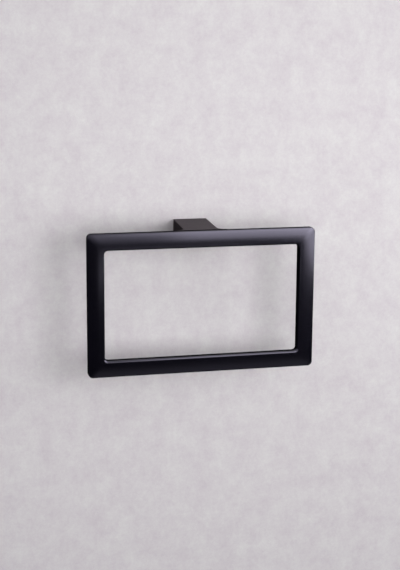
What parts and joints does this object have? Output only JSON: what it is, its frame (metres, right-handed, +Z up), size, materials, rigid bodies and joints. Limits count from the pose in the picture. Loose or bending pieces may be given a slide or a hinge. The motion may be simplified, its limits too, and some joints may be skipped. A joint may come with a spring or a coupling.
{
  "type": "towel ring",
  "caption": "Rectangular black towel ring with a pillowed flat-bar frame on a hollow tapered arm, fixed to the wall by a hidden bracket.",
  "frame": {"origin": "middle of the arm's end, on the wall plane", "axes": "+X along the ring's width, +Y into the wall, +Z up"},
  "size_m": [0.25, 0.097, 0.1589],
  "materials": {
    "black_finish": "satin",
    "zinc_plate": "satin",
    "screw_steel": "satin"
  },
  "bodies": {
    "root": {"ring": "black_finish", "arm": "black_finish", "ring_screws": "screw_steel", "wall_bracket": "zinc_plate", "wall_screws": "screw_steel", "grub_screw": "screw_steel"}
  },
  "joints": []
}
